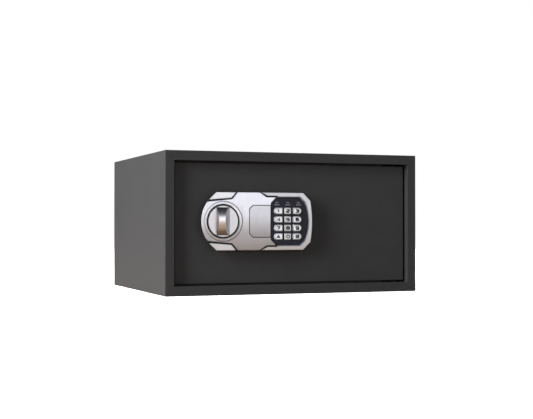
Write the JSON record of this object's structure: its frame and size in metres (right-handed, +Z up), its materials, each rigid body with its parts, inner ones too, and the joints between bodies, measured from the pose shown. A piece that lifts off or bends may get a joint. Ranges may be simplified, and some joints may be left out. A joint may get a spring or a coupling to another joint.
{
  "type": "in room safe",
  "caption": "Hotel room safe: sheet-steel box with a recessed side-hinged door, turn knob, keypad lock, sliding bolts and emergency key lock.",
  "frame": {"origin": "middle of the whole safe footprint, on the plane it stands on", "axes": "+Z up; the door faces -Y; the hinge is on the +X side and the knob on the -X side"},
  "size_m": [0.42, 0.361, 0.22],
  "materials": {
    "powder_coat": "fine-textured matt black powder coat",
    "steel": "zinc-plated steel, satin",
    "carpet": "dark grey needle felt",
    "dark_plastic": "moulded, fine texture",
    "silver_face": "satin silver",
    "knob_metal": "satin",
    "gloss_black": "polished",
    "key_plastic": "satin silver grey with dark legends",
    "rubber": "matt",
    "board": "green solder mask",
    "brass": "turned",
    "cell": "shrink sleeve with metal ends",
    "red_plastic": "moulded"
  },
  "bodies": {
    "root": {"body_shell": "powder_coat", "back_panel": "powder_coat", "door_jamb": "powder_coat", "door_stop": "powder_coat", "bolt_keeper": "steel", "hinge_bracket_upper": "powder_coat", "hinge_bracket_lower": "powder_coat", "floor_mat": "carpet"},
    "door": {"door_plate": "powder_coat", "door_inner_cover": "powder_coat", "hinge_knuckle_upper": "powder_coat", "hinge_knuckle_lower": "powder_coat", "hinge_pin_upper": "powder_coat", "hinge_pin_lower": "powder_coat", "bolt_guide_outer": "steel", "bolt_guide_inner": "steel", "solenoid_body": "steel", "override_barrel": "steel", "panel_base": "dark_plastic", "battery_box": "dark_plastic", "panel_face": "silver_face", "panel_trim_upper": "silver_face", "panel_trim_lower": "silver_face", "keypad_bezel": "silver_face", "keypad_window": "gloss_black", "status_light_1": "gloss_black", "status_light_2": "gloss_black", "status_light_3": "gloss_black", "key_membrane": "rubber", "wiring_lead": "rubber", "circuit_board": "board", "spindle_bush": "brass", "battery_cell_1": "cell", "battery_cell_2": "cell", "battery_cell_3": "cell", "battery_cell_4": "cell"},
    "knob": {"knob": "knob_metal", "knob_spindle": "steel", "cam_plate": "steel"},
    "bolt_works": {"bolt_carriage": "steel", "bolt_upper": "steel", "bolt_lower": "steel"},
    "solenoid_plunger": {"solenoid_plunger": "steel"},
    "override_cover": {"override_cover": "silver_face"},
    "override_plug": {"override_plug": "brass"},
    "battery_cover": {"battery_cover": "dark_plastic"},
    "reset_button": {"reset_button": "red_plastic"},
    "key_1": {"key_1": "key_plastic"},
    "key_2": {"key_2": "key_plastic"},
    "key_3": {"key_3": "key_plastic"},
    "key_4": {"key_4": "key_plastic"},
    "key_5": {"key_5": "key_plastic"},
    "key_6": {"key_6": "key_plastic"},
    "key_7": {"key_7": "key_plastic"},
    "key_8": {"key_8": "key_plastic"},
    "key_9": {"key_9": "key_plastic"},
    "key_0": {"key_0": "key_plastic"},
    "key_a": {"key_a": "key_plastic"},
    "key_b": {"key_b": "key_plastic"}
  },
  "joints": [
    {"name": "door_swing", "type": "hinge", "parent": "root", "child": "door", "pos_m": [0.178, -0.1515, 0.11], "axis": [0, 0, 1], "range_deg": [0, 100]},
    {"name": "knob_turn", "type": "hinge", "parent": "door", "child": "knob", "pos_m": [-0.1195, -0.1725, 0.113], "axis": [0, -1, 0], "range_deg": [0, 90]},
    {"name": "bolt_slide", "type": "slide", "parent": "door", "child": "bolt_works", "axis": [-1, 0, 0], "range_m": [0, 0.018]},
    {"name": "solenoid_slide", "type": "slide", "parent": "door", "child": "solenoid_plunger", "axis": [0, 0, -1], "range_m": [0, 0.006], "stiffness_N_per_m": 300},
    {"name": "override_cover_pull", "type": "slide", "parent": "door", "child": "override_cover", "axis": [0, -1, 0], "range_m": [0, 0.012]},
    {"name": "override_turn", "type": "hinge", "parent": "door", "child": "override_plug", "pos_m": [-0.06, -0.158, 0.113], "axis": [0, -1, 0], "range_deg": [0, 90]},
    {"name": "battery_cover_slide", "type": "slide", "parent": "door", "child": "battery_cover", "axis": [1, 0, 0], "range_m": [0, 0.025]},
    {"name": "reset_press", "type": "slide", "parent": "door", "child": "reset_button", "axis": [0, -1, 0], "range_m": [0, 0.002], "stiffness_N_per_m": 300},
    {"name": "key_1_press", "type": "slide", "parent": "door", "child": "key_1", "axis": [0, 1, 0], "range_m": [0, 0.001], "stiffness_N_per_m": 400},
    {"name": "key_2_press", "type": "slide", "parent": "door", "child": "key_2", "axis": [0, 1, 0], "range_m": [0, 0.001], "stiffness_N_per_m": 400},
    {"name": "key_3_press", "type": "slide", "parent": "door", "child": "key_3", "axis": [0, 1, 0], "range_m": [0, 0.001], "stiffness_N_per_m": 400},
    {"name": "key_4_press", "type": "slide", "parent": "door", "child": "key_4", "axis": [0, 1, 0], "range_m": [0, 0.001], "stiffness_N_per_m": 400},
    {"name": "key_5_press", "type": "slide", "parent": "door", "child": "key_5", "axis": [0, 1, 0], "range_m": [0, 0.001], "stiffness_N_per_m": 400},
    {"name": "key_6_press", "type": "slide", "parent": "door", "child": "key_6", "axis": [0, 1, 0], "range_m": [0, 0.001], "stiffness_N_per_m": 400},
    {"name": "key_7_press", "type": "slide", "parent": "door", "child": "key_7", "axis": [0, 1, 0], "range_m": [0, 0.001], "stiffness_N_per_m": 400},
    {"name": "key_8_press", "type": "slide", "parent": "door", "child": "key_8", "axis": [0, 1, 0], "range_m": [0, 0.001], "stiffness_N_per_m": 400},
    {"name": "key_9_press", "type": "slide", "parent": "door", "child": "key_9", "axis": [0, 1, 0], "range_m": [0, 0.001], "stiffness_N_per_m": 400},
    {"name": "key_0_press", "type": "slide", "parent": "door", "child": "key_0", "axis": [0, 1, 0], "range_m": [0, 0.001], "stiffness_N_per_m": 400},
    {"name": "key_a_press", "type": "slide", "parent": "door", "child": "key_a", "axis": [0, 1, 0], "range_m": [0, 0.001], "stiffness_N_per_m": 400},
    {"name": "key_b_press", "type": "slide", "parent": "door", "child": "key_b", "axis": [0, 1, 0], "range_m": [0, 0.001], "stiffness_N_per_m": 400}
  ],
  "couplings": [
    {"joint": "knob_turn", "follows": "bolt_slide", "rad_per_m": 87.26}
  ]
}
